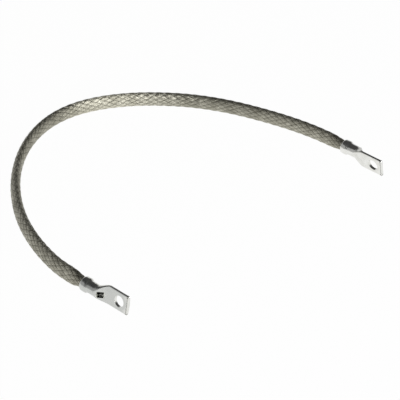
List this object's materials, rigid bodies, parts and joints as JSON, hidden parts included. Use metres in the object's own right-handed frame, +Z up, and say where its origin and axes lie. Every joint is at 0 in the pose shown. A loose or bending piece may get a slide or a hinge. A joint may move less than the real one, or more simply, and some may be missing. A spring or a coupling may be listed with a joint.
{
  "type": "flexible busbar braid",
  "caption": "Flexible earth and busbar strap: a flattened plait of tinned copper wire bent in a wide U, with a drilled tubular terminal crimped on each end.",
  "frame": {"origin": "on the floor, midway between the terminals: the bottom centre of the box round the two terminals", "axes": "+X the way both terminals point, +Y from the near terminal to the far one, +Z up; the braid bows out towards -X"},
  "size_m": [0.234, 0.258, 0.0143],
  "materials": {
    "tinned_terminal": "bright electro-tinned copper tube, smooth with soft press marks",
    "tinned_wire": "plaited bundles of fine tinned copper wire, satin, warm grey"
  },
  "bodies": {
    "root": {"terminal_near": "tinned_terminal", "terminal_far": "tinned_terminal", "braid": "tinned_wire"}
  },
  "joints": []
}
